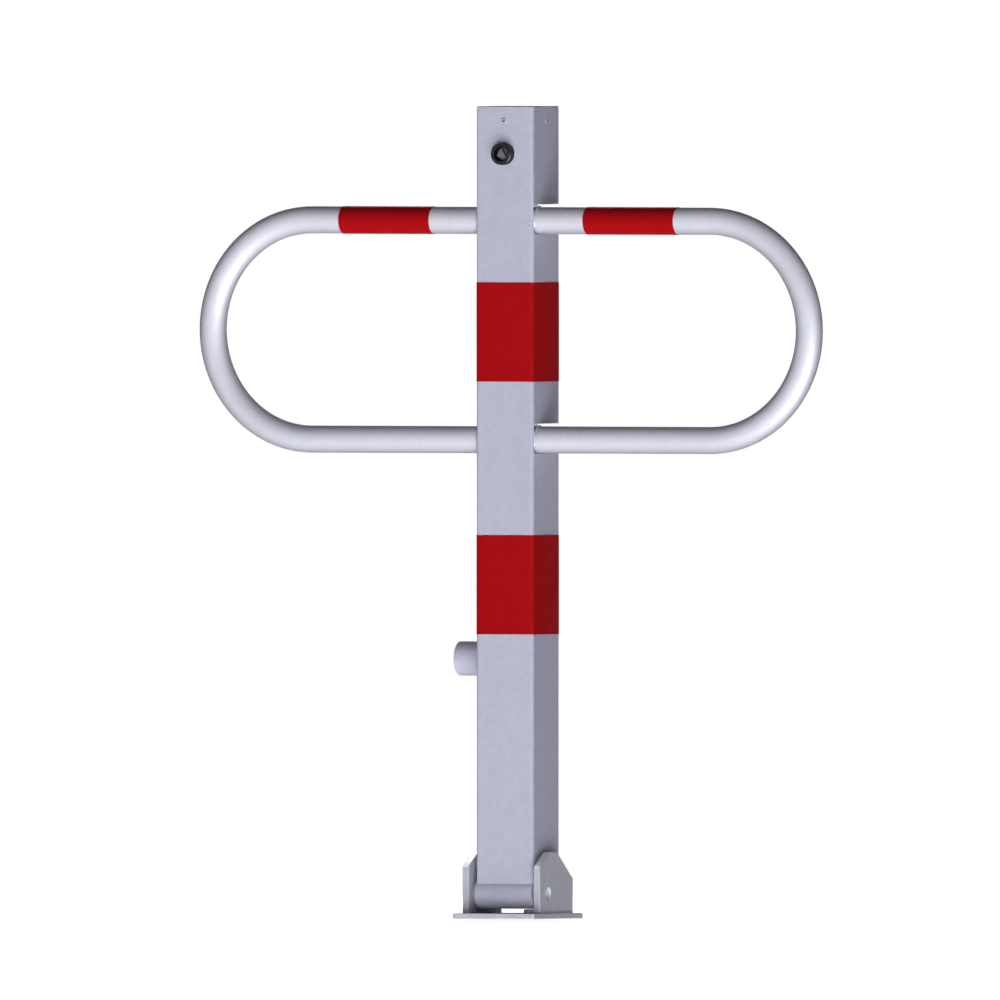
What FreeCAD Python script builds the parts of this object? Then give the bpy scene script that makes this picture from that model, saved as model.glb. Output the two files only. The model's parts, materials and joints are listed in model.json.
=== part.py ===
"""Folding parking bollard: a square steel post with a barrier ring, hinged on a bolted base plate.

Millimetres. +Z is up, the front of the post faces -Y, and the origin is the centre of the base
plate's underside. The post stands upright with its locking rod drawn up, ready to fold forward.
"""
import FreeCAD, Part
import math
import os

V = FreeCAD.Vector
AXIS_X = V(1, 0, 0)
AXIS_Y = V(0, 1, 0)
AXIS_Z = V(0, 0, 1)

# Base plate and its anchor holes
plate_width = 100.0
plate_depth = 130.0
plate_thickness = 6.0
plate_corner_radius = 3.0
anchor_hole_diameter = 11.0
anchor_edge_distance_x = 18.0
anchor_edge_distance_y = 11.0

# Hinge ears that stand on the plate, one each side of the post
ear_thickness = 8.0
ear_depth = 86.0
ear_rise = 68.0
ear_front_chamfer_depth = 25.0
ear_front_chamfer_drop = 16.0
ear_rear_chamfer_depth = 41.0
ear_rear_chamfer_drop = 30.0
ear_gap = 4.5

# Square post
post_side = 70.0
post_wall = 3.0
post_corner_radius = 4.0
least_corner_radius = 0.5
post_length = 887.0
post_foot_gap = 4.5

# Hinge: a barrel across the foot of the post, two flanged bushes and a pin
pivot_rise = 22.0
pivot_behind_front = 13.5
pin_diameter = 14.0
pin_recess = 3.0
pin_chamfer = 1.0
barrel_diameter = 34.0
barrel_wall = 4.0
bush_length = 16.0
bush_flange_diameter = 32.0

# Barrier ring: one closed loop of round tube, slid into slots from the back of the post
ring_tube_diameter = 30.0
ring_tube_wall = 2.5
ring_below_lock = 74.0
ring_bend_radius = 121.5
ring_straight = 487.0
slot_head_room = 3.0
slot_corner_radius = 5.0

# Reflective film on the post and on the ring's upper run
film_thickness = 0.4
post_film_height = 110.0
upper_film_below_ring_centre = 2.0
lower_film_below_ring = 160.5
ring_film_length = 110.5
ring_film_offset = 149.5

# Short tube stub on the left face
stub_diameter = 38.0
stub_wall = 3.0
stub_length = 35.0
stub_below_film = 82.0

# Cap in the top of the post and the rivets that hold it
cap_thickness = 2.5
cap_edge_radius = 1.2
cap_skirt_wall = 2.5
cap_skirt_depth = 25.0
rivet_diameter = 4.0
rivet_head_diameter = 7.0
rivet_head_height = 1.2
rivet_crown_diameter = 4.4
rivet_bore_diameter = 2.6
rivet_bore_depth = 2.2
rivet_tail_diameter = 6.0
rivet_tail_height = 1.6
rivet_below_top = 13.5

# Lock in the front wall: a turned collar, a triangular stud to turn and a crank behind it
lock_below_top = 50.0
collar_diameter = 25.0
collar_proud = 10.0
collar_chamfer = 1.5
collar_neck_diameter = 20.0
collar_neck_length = 13.0
collar_recess_diameter = 17.0
collar_recess_depth = 9.0
lock_nut_across_flats = 27.0
lock_nut_thickness = 6.0
spindle_diameter = 10.0
spindle_head_diameter = 13.0
spindle_head_thickness = 2.0
stud_circle_diameter = 13.0
stud_edge_radius = 1.2
stud_recess = 1.0
spindle_square = 6.4
clip_groove_depth = 1.0
clip_thickness = 1.0
clip_diameter = 17.0
clip_mouth = 6.0
crank_disc_diameter = 28.0
crank_disc_thickness = 6.0
crank_radius = 8.5
crank_pin_diameter = 6.0
crank_turn = 90.0
crank_screw_diameter = 3.0
crank_screw_head_diameter = 7.4
crank_screw_length = 14.0

# Locking rod inside the post, its yoke, its guides and the keeper on the plate
rod_diameter = 10.0
rod_back_gap = 2.0
rod_x = 7.5
rod_tip_rise = 2.0
rod_tip_chamfer = 1.5
spigot_diameter = 7.0
yoke_thickness = 10.0
yoke_width = 34.0
yoke_border = 8.0
yoke_socket_depth = 14.0
yoke_pin_diameter = 4.0
crank_to_yoke_gap = 1.5
guide_thickness = 10.0
guide_front_reach = 12.0
guide_tenon_diameter = 9.0
guide_tenon_behind_front = 31.5
guide_upper_below_ring = 28.0
guide_middle_above_stub = 2.0
guide_lower_above_barrel = 15.0
guide_corner_radius = 2.0
keeper_width = 16.0
keeper_margin = 4.0
keeper_edge_chamfer = 1.0

# Clearances
weld_gap = 0.05
film_gap = 0.05
running_gap = 0.05
sliding_gap = 0.1
seat_gap = 0.2
stop_gap = 0.3
bolt_gap = 0.5
crank_slot_gap = 0.5

# Heights and planes worked out from the sizes above
half_post = post_side / 2
front_face = -half_post
back_face = half_post
inner_front = front_face + post_wall
inner_back = back_face - post_wall
half_inner = half_post - post_wall
plate_top = plate_thickness
anchor_x = plate_width / 2 - anchor_edge_distance_x
anchor_y = plate_depth / 2 - anchor_edge_distance_y
post_bottom = plate_top + post_foot_gap
post_top = post_bottom + post_length
pivot_y = front_face + pivot_behind_front
pivot_z = plate_top + pivot_rise
ear_inner = half_post + ear_gap
ear_outer = ear_inner + ear_thickness
barrel_radius = barrel_diameter / 2
ring_tube_radius = ring_tube_diameter / 2
ring_y = inner_front + seat_gap + ring_tube_radius
lock_z = post_top - lock_below_top
ring_upper_z = lock_z - ring_below_lock
ring_centre_z = ring_upper_z - ring_bend_radius
ring_lower_z = ring_centre_z - ring_bend_radius
upper_film_z = ring_centre_z - upper_film_below_ring_centre
lower_film_z = ring_lower_z - lower_film_below_ring
stub_z = lower_film_z - stub_below_film
rod_radius = rod_diameter / 2
rod_y = inner_back - rod_back_gap - rod_radius
rod_tip_z = post_bottom + rod_tip_rise
yoke_front = rod_y - yoke_thickness / 2
disc_back = yoke_front - crank_to_yoke_gap
disc_front = disc_back - crank_disc_thickness
crank_half_turn = math.radians(crank_turn / 2)
crank_x = crank_radius * math.cos(crank_half_turn)
crank_rise = crank_radius * math.sin(crank_half_turn)
crank_z = lock_z + crank_rise
crank_slot_half_height = crank_pin_diameter / 2 + crank_slot_gap
yoke_bottom = crank_z - crank_slot_half_height - yoke_border - yoke_socket_depth
yoke_top = crank_z + crank_slot_half_height + yoke_border
rod_end_z = yoke_bottom + yoke_socket_depth
guide_upper_z = ring_lower_z - guide_upper_below_ring
guide_middle_z = stub_z + guide_middle_above_stub
guide_lower_z = pivot_z + barrel_radius + guide_lower_above_barrel
inner_corner_radius = max(post_corner_radius - post_wall, least_corner_radius)
spigot_radius = spigot_diameter / 2
collar_back = inner_front + collar_neck_length


def box(x0, x1, y0, y1, z0, z1):
    """Block between two corners."""
    return Part.makeBox(x1 - x0, y1 - y0, z1 - z0, V(x0, y0, z0))


def rod_shape(radius, start, axis, length):
    """Round bar from a start point along an axis."""
    return Part.makeCylinder(radius, length, start, axis)


def tube_shape(outer_radius, inner_radius, start, axis, length):
    """Round tube from a start point along an axis."""
    outer = rod_shape(outer_radius, start, axis, length)
    return outer.cut(rod_shape(inner_radius, start, axis, length))


def edges_along(shape, axis):
    """Straight edges of a shape that run along an axis."""
    found = []
    for edge in shape.Edges:
        if isinstance(edge.Curve, Part.Line) and abs(edge.Curve.Direction.dot(axis)) > 0.999:
            found.append(edge)
    return found


def rounded_square(side, radius, z0, z1):
    """Upright square prism about the Z axis with rounded corners."""
    prism = box(-side / 2, side / 2, -side / 2, side / 2, z0, z1)
    return prism.makeFillet(radius, edges_along(prism, AXIS_Z))


def turned(points, start, axis):
    """Solid of revolution: (distance along the axis, radius) corners, turned about the axis."""
    corners = [V(radius, 0, along) for along, radius in points]
    profile = Part.Face(Part.makePolygon(corners + corners[:1]))
    solid = profile.revolve(V(0, 0, 0), AXIS_Z, 360)
    turn = FreeCAD.Rotation(AXIS_Z, axis)
    solid.Placement = FreeCAD.Placement(start, turn)
    return solid


def extruded(points, plane_axis, start, length):
    """Prism of a flat outline: points are (second, third) coordinates across the given axis."""
    if plane_axis == AXIS_X:
        corners = [V(start, a, b) for a, b in points]
    else:
        corners = [V(a, start, b) for a, b in points]
    face = Part.Face(Part.makePolygon(corners + corners[:1]))
    return face.extrude(plane_axis * length)


def base_plate():
    plate = box(-plate_width / 2, plate_width / 2, -plate_depth / 2, plate_depth / 2, 0, plate_top)
    plate = plate.makeFillet(plate_corner_radius, edges_along(plate, AXIS_Z))
    for side_x in (-1, 1):
        for side_y in (-1, 1):
            place = V(side_x * anchor_x, side_y * anchor_y, 0)
            plate = plate.cut(rod_shape(anchor_hole_diameter / 2, place, AXIS_Z, plate_thickness))
    return plate.cut(rod_shape(rod_radius + bolt_gap, V(rod_x, rod_y, 0), AXIS_Z, plate_thickness))


def hinge_ear(side):
    """Ear with two sloped shoulders; side is -1 for the left ear and 1 for the right."""
    ear_top = plate_top + ear_rise
    front = -ear_depth / 2
    back = ear_depth / 2
    outline = [
        (front, plate_top),
        (front, ear_top - ear_front_chamfer_drop),
        (front + ear_front_chamfer_depth, ear_top),
        (back - ear_rear_chamfer_depth, ear_top),
        (back, ear_top - ear_rear_chamfer_drop),
        (back, plate_top),
    ]
    inner = min(side * ear_inner, side * ear_outer)
    ear = extruded(outline, AXIS_X, inner, ear_thickness)
    hole = rod_shape(pin_diameter / 2, V(inner, pivot_y, pivot_z), AXIS_X, ear_thickness)
    return ear.cut(hole)


def pivot_pin():
    """Plain pin pressed into both ears, its chamfered ends set back from their outer faces."""
    half = ear_outer - pin_recess
    radius = pin_diameter / 2
    profile = [
        (0, 0),
        (0, radius - pin_chamfer),
        (pin_chamfer, radius),
        (2 * half - pin_chamfer, radius),
        (2 * half, radius - pin_chamfer),
        (2 * half, 0),
    ]
    return turned(profile, V(-half, pivot_y, pivot_z), AXIS_X)


def keeper_block():
    """Block under the back wall: the upright stop, bored for the locking rod."""
    front = rod_y - rod_radius - keeper_margin
    top = post_bottom - stop_gap
    left = rod_x - keeper_width / 2
    block = box(left, left + keeper_width, front, back_face, plate_top, top)
    top_edges = [edge for edge in block.Edges if edge.BoundBox.ZMin > top - 0.001]
    block = block.makeChamfer(keeper_edge_chamfer, top_edges)
    return block.cut(rod_shape(rod_radius + bolt_gap, V(rod_x, rod_y, plate_top), AXIS_Z, top))


def ring_slot(run_z):
    """Slot for one run of the ring, open to the back, with head room above the tube."""
    low = run_z - ring_tube_radius - seat_gap
    high = run_z + ring_tube_radius + slot_head_room
    slot = box(-post_side, post_side, inner_front, post_side, low, high)
    closed_edges = [e for e in edges_along(slot, AXIS_X) if e.BoundBox.YMax < inner_front + 0.001]
    return slot.makeFillet(slot_corner_radius, closed_edges)


def foot_relief():
    """What is cut from the foot: the barrel's saddle and the wall in front of and below it."""
    start = V(-post_side, pivot_y, pivot_z)
    saddle = rod_shape(barrel_radius + weld_gap, start, AXIS_X, 2 * post_side)
    return saddle.fuse(box(-post_side, post_side, -post_side, pivot_y, 0, pivot_z))


def rivet_places():
    """Point on each outer face and the direction out of it, for the four cap rivets."""
    height = post_top - rivet_below_top
    outward = [V(0, -1, 0), V(1, 0, 0), V(0, 1, 0), V(-1, 0, 0)]
    return [(direction * half_post + V(0, 0, height), direction) for direction in outward]


def guide_heights():
    return {
        "rod_guide_upper": guide_upper_z,
        "rod_guide_middle": guide_middle_z,
        "rod_guide_lower": guide_lower_z,
    }


def post_tube():
    tube = rounded_square(post_side, post_corner_radius, post_bottom, post_top)
    tube = tube.cut(rounded_square(2 * half_inner, inner_corner_radius, post_bottom, post_top))
    tube = tube.cut(foot_relief())
    for run_z in (ring_upper_z, ring_lower_z):
        tube = tube.cut(ring_slot(run_z))
    neck_radius = collar_neck_diameter / 2 + sliding_gap
    tube = tube.cut(rod_shape(neck_radius, V(0, front_face, lock_z), AXIS_Y, post_wall))
    for place, outward in rivet_places():
        radius = rivet_diameter / 2 + sliding_gap
        tube = tube.cut(rod_shape(radius, place, outward * -1, post_wall))
    tenon_y = front_face + guide_tenon_behind_front
    for height in guide_heights().values():
        radius = guide_tenon_diameter / 2 + sliding_gap
        tube = tube.cut(rod_shape(radius, V(-post_side, tenon_y, height), AXIS_X, 2 * post_side))
    return tube


def hinge_barrel():
    start = V(-half_post, pivot_y, pivot_z)
    return tube_shape(barrel_radius, barrel_radius - barrel_wall, start, AXIS_X, post_side)


def hinge_bush(side):
    """Flanged plain bush in one end of the barrel; its flange fills the gap to the ear."""
    bore = pin_diameter / 2 + running_gap
    body = barrel_radius - barrel_wall
    flange = bush_flange_diameter / 2
    flange_end = ear_gap - seat_gap
    profile = [
        (-bush_length, bore),
        (-bush_length, body),
        (0, body),
        (0, flange),
        (flange_end, flange),
        (flange_end, bore),
    ]
    return turned(profile, V(side * half_post, pivot_y, pivot_z), AXIS_X * side)


def barrier_ring():
    """Closed loop of tube: two straight runs joined by two half-circle bends."""
    half_run = ring_straight / 2
    start = V(-half_run, ring_y, ring_upper_z)
    rim = Part.Face(Part.Wire(Part.makeCircle(ring_tube_radius, start, AXIS_X)))
    bore = Part.Face(Part.Wire(Part.makeCircle(ring_tube_radius - ring_tube_wall, start, AXIS_X)))
    section = rim.cut(bore).Faces[0]
    upper = section.extrude(AXIS_X * ring_straight)
    left = section.revolve(V(-half_run, ring_y, ring_centre_z), AXIS_Y, -180)
    far_section = section.translated(AXIS_X * ring_straight)
    right = far_section.revolve(V(half_run, ring_y, ring_centre_z), AXIS_Y, 180)
    lower = upper.translated(AXIS_Z * (ring_lower_z - ring_upper_z))
    return upper.multiFuse([left, lower, right])


def post_film(centre_z):
    """Band of film wrapped round the post."""
    low = centre_z - post_film_height / 2
    high = centre_z + post_film_height / 2
    inner_side = post_side + 2 * film_gap
    outer_side = inner_side + 2 * film_thickness
    inner_radius = post_corner_radius + film_gap
    outer = rounded_square(outer_side, inner_radius + film_thickness, low, high)
    return outer.cut(rounded_square(inner_side, inner_radius, low, high))


def ring_film(side):
    """Sleeve of film round the ring's upper run, left (-1) or right (1) of the post."""
    start = V(side * ring_film_offset - ring_film_length / 2, ring_y, ring_upper_z)
    inner = ring_tube_radius + film_gap
    return tube_shape(inner + film_thickness, inner, start, AXIS_X, ring_film_length)


def side_stub():
    start = V(-half_post - stub_length, 0, stub_z)
    radius = stub_diameter / 2
    return tube_shape(radius, radius - stub_wall, start, AXIS_X, stub_length)


def post_cap():
    """Lid flush with the post's faces, with a square skirt inside the tube."""
    lid = rounded_square(post_side, post_corner_radius, post_top, post_top + cap_thickness)
    rim = [edge for edge in lid.Edges if edge.BoundBox.ZMin > post_top + cap_thickness - 0.001]
    lid = lid.makeFillet(cap_edge_radius, rim)
    skirt_side = 2 * (half_inner - seat_gap)
    hollow_side = skirt_side - 2 * cap_skirt_wall
    skirt_bottom = post_top - cap_skirt_depth
    skirt = rounded_square(skirt_side, inner_corner_radius, skirt_bottom, post_top)
    skirt = skirt.cut(box(-hollow_side / 2, hollow_side / 2, -hollow_side / 2, hollow_side / 2,
                          skirt_bottom, post_top))
    cap = lid.fuse(skirt).removeSplitter()
    for place, outward in rivet_places():
        radius = rivet_diameter / 2 + sliding_gap
        cap = cap.cut(rod_shape(radius, place, outward * -1, post_wall + seat_gap + cap_skirt_wall))
    return cap


def cap_rivets():
    """Four blind rivets through the post's walls into the cap's skirt, each with its pulled bore."""
    grip = post_wall + seat_gap + cap_skirt_wall
    shank = rivet_diameter / 2
    head = rivet_head_diameter / 2
    tail = rivet_tail_diameter / 2
    crown = rivet_crown_diameter / 2
    bore = rivet_bore_diameter / 2
    profile = [
        (rivet_head_height - rivet_bore_depth, 0),
        (rivet_head_height - rivet_bore_depth, bore),
        (rivet_head_height, bore),
        (rivet_head_height, crown),
        (0, head),
        (0, shank),
        (-grip, shank),
        (-grip, tail),
        (-grip - rivet_tail_height, tail),
        (-grip - rivet_tail_height, 0),
    ]
    return Part.makeCompound([turned(profile, place, out) for place, out in rivet_places()])


def lock_collar():
    """Turned collar: a round head with a deep recess, and a neck through the front wall."""
    head = collar_diameter / 2
    neck = collar_neck_diameter / 2
    recess = collar_recess_diameter / 2
    bore = spindle_diameter / 2 + running_gap
    back = collar_back - front_face
    profile = [
        (-collar_proud, recess),
        (-collar_proud, head - collar_chamfer),
        (-collar_proud + collar_chamfer, head),
        (0, head),
        (0, neck),
        (back, neck),
        (back, bore),
        (collar_recess_depth - collar_proud, bore),
        (collar_recess_depth - collar_proud, recess),
    ]
    return turned(profile, V(0, front_face, lock_z), AXIS_Y)


def lock_nut():
    """Hexagon nut that draws the collar against the front wall from inside."""
    reach = lock_nut_across_flats / math.sqrt(3)
    corners = []
    for index in range(6):
        angle = math.radians(60 * index + 30)
        corners.append((reach * math.cos(angle), lock_z + reach * math.sin(angle)))
    nut = extruded(corners, AXIS_Y, inner_front, lock_nut_thickness)
    bore = collar_neck_diameter / 2 + running_gap
    return nut.cut(rod_shape(bore, V(0, inner_front, lock_z), AXIS_Y, lock_nut_thickness))


def stud_outline():
    """Three corners of the triangular stud about the lock's axis, one corner up."""
    circle_radius = stud_circle_diameter / 2
    corners = []
    for index in range(3):
        angle = math.radians(90 + 120 * index)
        corners.append((circle_radius * math.cos(angle), lock_z + circle_radius * math.sin(angle)))
    return corners


def lock_spindle():
    """Triangular stud, shoulder, round shaft with a clip groove, and a square end."""
    shoulder_y = front_face - collar_proud + collar_recess_depth
    stud_y = front_face - collar_proud + stud_recess
    radius = spindle_diameter / 2
    shaft_start = shoulder_y - seat_gap
    head_start = shaft_start - spindle_head_thickness
    head_radius = spindle_head_diameter / 2
    head = rod_shape(head_radius, V(0, head_start, lock_z), AXIS_Y, spindle_head_thickness)
    shaft = rod_shape(radius, V(0, shaft_start, lock_z), AXIS_Y, disc_front - shaft_start)
    stud = extruded(stud_outline(), AXIS_Y, stud_y, head_start - stud_y)
    stud = stud.makeFillet(stud_edge_radius, edges_along(stud, AXIS_Y))
    half = spindle_square / 2
    square = box(-half, half, disc_front, disc_back - crank_screw_seat(), lock_z - half, lock_z + half)
    spindle = shaft.multiFuse([head, stud, square]).removeSplitter()
    groove_start = V(0, collar_back + seat_gap, lock_z)
    groove = tube_shape(2 * radius, radius - clip_groove_depth, groove_start, AXIS_Y,
                        clip_thickness + running_gap)
    screw_hole_start = V(0, disc_back - crank_screw_length - seat_gap, lock_z)
    screw_hole = rod_shape(crank_screw_diameter / 2 + running_gap, screw_hole_start, AXIS_Y,
                           crank_screw_length + seat_gap)
    return spindle.cut(groove).cut(screw_hole)


def crank_screw_seat():
    """Depth of the countersunk head, below the disc's back face."""
    return (crank_screw_head_diameter - crank_screw_diameter) / 2


def spindle_clip():
    """Open ring in the spindle's groove, behind the collar."""
    inner = spindle_diameter / 2 - clip_groove_depth + running_gap
    start = V(0, collar_back + seat_gap, lock_z)
    ring = tube_shape(clip_diameter / 2, inner, start, AXIS_Y, clip_thickness)
    mouth = box(-clip_mouth / 2, clip_mouth / 2, start.y, start.y + clip_thickness,
                lock_z - clip_diameter, lock_z)
    return ring.cut(mouth)


def crank_disc():
    """Disc on the spindle's square end, with a hole for the crank pin and a screw seat."""
    disc = rod_shape(crank_disc_diameter / 2, V(0, disc_front, lock_z), AXIS_Y, crank_disc_thickness)
    half = spindle_square / 2 + running_gap
    seat = crank_screw_seat()
    disc = disc.cut(box(-half, half, disc_front, disc_back - seat, lock_z - half, lock_z + half))
    disc = disc.cut(screw_head(running_gap))
    pin_start = V(crank_x, disc_front, crank_z)
    return disc.cut(rod_shape(crank_pin_diameter / 2, pin_start, AXIS_Y, crank_disc_thickness))


def screw_head(gap):
    """Countersunk head of the crank screw, grown by a gap."""
    seat = crank_screw_seat()
    small = crank_screw_diameter / 2 + gap
    large = crank_screw_head_diameter / 2 + gap
    return Part.makeCone(small, large, seat, V(0, disc_back - seat, lock_z), AXIS_Y)


def crank_screw():
    start = V(0, disc_back - crank_screw_length, lock_z)
    shank = rod_shape(crank_screw_diameter / 2, start, AXIS_Y, crank_screw_length - crank_screw_seat())
    return shank.fuse(screw_head(0)).removeSplitter()


def crank_pin():
    length = yoke_front + yoke_thickness - disc_front
    return rod_shape(crank_pin_diameter / 2, V(crank_x, disc_front, crank_z), AXIS_Y, length)


def rod_yoke():
    """Plate on the rod's top end with a level slot that the crank pin lifts and lowers."""
    half = yoke_width / 2
    yoke = box(-half, half, yoke_front, yoke_front + yoke_thickness, yoke_bottom, yoke_top)
    yoke = yoke.makeFillet(yoke_border / 2, edges_along(yoke, AXIS_Y))
    slot_left = crank_x - crank_slot_half_height
    slot_right = crank_radius + crank_slot_half_height
    slot = box(slot_left, slot_right, yoke_front, yoke_front + yoke_thickness,
               crank_z - crank_slot_half_height, crank_z + crank_slot_half_height)
    yoke = yoke.cut(slot)
    socket = rod_shape(spigot_radius, V(rod_x, rod_y, yoke_bottom), AXIS_Z, yoke_socket_depth)
    return yoke.cut(socket).cut(yoke_pin_hole())


def yoke_pin_hole():
    start = V(rod_x, yoke_front, yoke_bottom + yoke_socket_depth / 2)
    return rod_shape(yoke_pin_diameter / 2, start, AXIS_Y, yoke_thickness)


def yoke_pin():
    return yoke_pin_hole()


def locking_rod():
    """Long round rod: a chamfered tip at the foot, and a spigot into the yoke at the top."""
    profile = [
        (0, 0),
        (0, rod_radius - rod_tip_chamfer),
        (rod_tip_chamfer, rod_radius),
        (yoke_bottom - rod_tip_z, rod_radius),
        (yoke_bottom - rod_tip_z, spigot_radius),
        (rod_end_z - rod_tip_z, spigot_radius),
        (rod_end_z - rod_tip_z, 0),
    ]
    return turned(profile, V(rod_x, rod_y, rod_tip_z), AXIS_Z).cut(yoke_pin_hole())


def rod_guide(height):
    """Bar across the post with a bored hole for the rod and a tenon into each side wall."""
    half = half_inner - seat_gap
    low = height - guide_thickness / 2
    front = -guide_front_reach
    guide = box(-half, half, front, inner_back - seat_gap, low, low + guide_thickness)
    guide = guide.makeFillet(guide_corner_radius, edges_along(guide, AXIS_Z))
    tenon_y = front_face + guide_tenon_behind_front
    tenon_start = V(-half_post, tenon_y, height)
    guide = guide.fuse(rod_shape(guide_tenon_diameter / 2, tenon_start, AXIS_X, post_side))
    hole = rod_shape(rod_radius + sliding_gap, V(rod_x, rod_y, low), AXIS_Z, guide_thickness)
    return guide.removeSplitter().cut(hole)


parts = {
    "base_plate": base_plate(),
    "hinge_ear_left": hinge_ear(-1),
    "hinge_ear_right": hinge_ear(1),
    "pivot_pin": pivot_pin(),
    "keeper_block": keeper_block(),
    "post_tube": post_tube(),
    "hinge_barrel": hinge_barrel(),
    "hinge_bush_left": hinge_bush(-1),
    "hinge_bush_right": hinge_bush(1),
    "barrier_ring": barrier_ring(),
    "post_film_upper": post_film(upper_film_z),
    "post_film_lower": post_film(lower_film_z),
    "ring_film_left": ring_film(-1),
    "ring_film_right": ring_film(1),
    "side_stub": side_stub(),
    "post_cap": post_cap(),
    "cap_rivets": cap_rivets(),
    "lock_collar": lock_collar(),
    "lock_nut": lock_nut(),
    "lock_spindle": lock_spindle(),
    "spindle_clip": spindle_clip(),
    "crank_disc": crank_disc(),
    "crank_screw": crank_screw(),
    "crank_pin": crank_pin(),
    "rod_yoke": rod_yoke(),
    "yoke_pin": yoke_pin(),
    "locking_rod": locking_rod(),
}
for guide_name, guide_height in guide_heights().items():
    parts[guide_name] = rod_guide(guide_height)

os.makedirs("parts", exist_ok=True)
for name, shape in parts.items():
    shape.exportStep(os.path.join("parts", name + ".step"))
    print(name, "solids", len(shape.Solids), "valid", shape.isValid(), "volume", round(shape.Volume, 1))
print("rod travel", round(2 * crank_rise, 4), "pivot", pivot_y, pivot_z, "lock", lock_z, "top", post_top)
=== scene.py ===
# %% [markdown]
# # Folding parking bollard
# A square galvanised post with a barrier ring of round tube and red reflective film. It hinges
# forward between two ears on a bolted base plate, and a key in its lock drives a rod into the plate.
#
# The measured model is loaded first and never moved. Every piece made here takes its size and
# place from that model's boxes, in metres, so nothing has to be fitted afterwards.

# %% Load the measured model
import bmesh
import bpy
import json
import math
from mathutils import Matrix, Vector


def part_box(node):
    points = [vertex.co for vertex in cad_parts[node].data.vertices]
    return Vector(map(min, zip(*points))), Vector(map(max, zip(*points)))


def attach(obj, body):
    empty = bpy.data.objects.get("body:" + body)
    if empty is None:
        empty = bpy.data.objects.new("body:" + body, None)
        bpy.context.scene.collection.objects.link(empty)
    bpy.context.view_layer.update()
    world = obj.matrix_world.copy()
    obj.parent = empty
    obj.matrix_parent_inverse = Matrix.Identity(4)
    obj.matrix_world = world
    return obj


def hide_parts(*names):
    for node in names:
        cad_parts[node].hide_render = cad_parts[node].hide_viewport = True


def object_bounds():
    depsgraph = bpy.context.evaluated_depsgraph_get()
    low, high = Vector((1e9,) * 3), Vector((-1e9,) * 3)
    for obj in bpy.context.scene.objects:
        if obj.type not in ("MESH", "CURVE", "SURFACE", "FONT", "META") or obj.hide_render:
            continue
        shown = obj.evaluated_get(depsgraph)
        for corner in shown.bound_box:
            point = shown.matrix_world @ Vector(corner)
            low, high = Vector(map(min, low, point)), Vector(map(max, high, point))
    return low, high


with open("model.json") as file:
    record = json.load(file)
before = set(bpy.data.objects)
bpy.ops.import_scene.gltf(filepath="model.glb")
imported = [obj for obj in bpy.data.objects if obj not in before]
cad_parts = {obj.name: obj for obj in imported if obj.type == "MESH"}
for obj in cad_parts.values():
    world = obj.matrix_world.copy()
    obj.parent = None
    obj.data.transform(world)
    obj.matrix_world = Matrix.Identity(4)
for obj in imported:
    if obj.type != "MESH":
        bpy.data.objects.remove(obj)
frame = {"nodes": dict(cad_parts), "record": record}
nodes = frame["nodes"]
model_low, model_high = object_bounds()
body_of_node = {}
for body, names in frame["record"]["behaviour"]["bodies"].items():
    for name in names:
        body_of_node[name] = body
print("model box", [round(v, 4) for v in model_low], [round(v, 4) for v in model_high])

# %% [markdown]
# ## Camera
# The picture to match is a parallel view: the ring's two ends are drawn at the same size and the
# post's edges stay parallel. An orthographic camera does that. The post's height in the picture
# gives the scale, and the widths of the post's two faces give the angle it is seen from.

# %% Camera at the picture's angle
image_side = 1000.0
post_height_in_picture = 812.4
metres_per_pixel = model_high.z / post_height_in_picture
view_azimuth = math.radians(25.2)
view_elevation = math.radians(0.45)
aim_right_of_axis = -0.01966
aim_height = 0.4637
camera_distance = 4.0

picture_right = Vector((math.cos(view_azimuth), math.sin(view_azimuth), 0))
towards_camera = Vector((
    math.sin(view_azimuth) * math.cos(view_elevation),
    -math.cos(view_azimuth) * math.cos(view_elevation),
    math.sin(view_elevation),
))
aim = picture_right * aim_right_of_axis + Vector((0, 0, aim_height))
bpy.ops.object.camera_add(location=aim + towards_camera * camera_distance)
camera = bpy.context.object
camera.name = "picture_camera"
camera.rotation_euler = (-towards_camera).to_track_quat("-Z", "Y").to_euler()
camera.data.type = "ORTHO"
camera.data.ortho_scale = image_side * metres_per_pixel
bpy.context.scene.camera = camera
bpy.context.scene.view_settings.view_transform = "Standard"
print("ortho scale", round(camera.data.ortho_scale, 4))

# %% [markdown]
# ## Node helpers
# Materials are node graphs. Two short helpers keep them readable: one adds a node and fills in its
# sockets by name, the other starts a node group with named inputs and outputs, for an effect that
# several materials share. Three more do one sum, stretch a value and mix two colours.

# %% Helpers for node graphs


def add_node(tree, kind, settings=None, **sockets):
    """Add a node; a socket's value is a constant or the output socket that feeds it."""
    node = tree.nodes.new(kind)
    for key, value in (settings or {}).items():
        setattr(node, key, value)
    for key, value in sockets.items():
        title = int(key[1:]) if key[0] == "_" else key.replace("_", " ")
        if isinstance(value, bpy.types.NodeSocket):
            tree.links.new(value, node.inputs[title])
        else:
            node.inputs[title].default_value = value
    return node


def new_group(name, inputs, outputs):
    """Start a shader node group and return it with its input and output nodes."""
    group = bpy.data.node_groups.new(name, "ShaderNodeTree")
    for title, kind in inputs.items():
        group.interface.new_socket(name=title, in_out="INPUT", socket_type=kind)
    for title, kind in outputs.items():
        group.interface.new_socket(name=title, in_out="OUTPUT", socket_type=kind)
    return group, group.nodes.new("NodeGroupInput"), group.nodes.new("NodeGroupOutput")


def place_group(tree, group, **sockets):
    """Place a node group in a material."""
    return add_node(tree, "ShaderNodeGroup", {"node_tree": group}, **sockets)


print("node helpers ready")

# %% Helpers for values and colours


def math_node(tree, operation, first, second=0.0):
    """One sum on two values; returns its output socket."""
    return add_node(tree, "ShaderNodeMath", {"operation": operation}, _0=first, _1=second).outputs[0]


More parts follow.
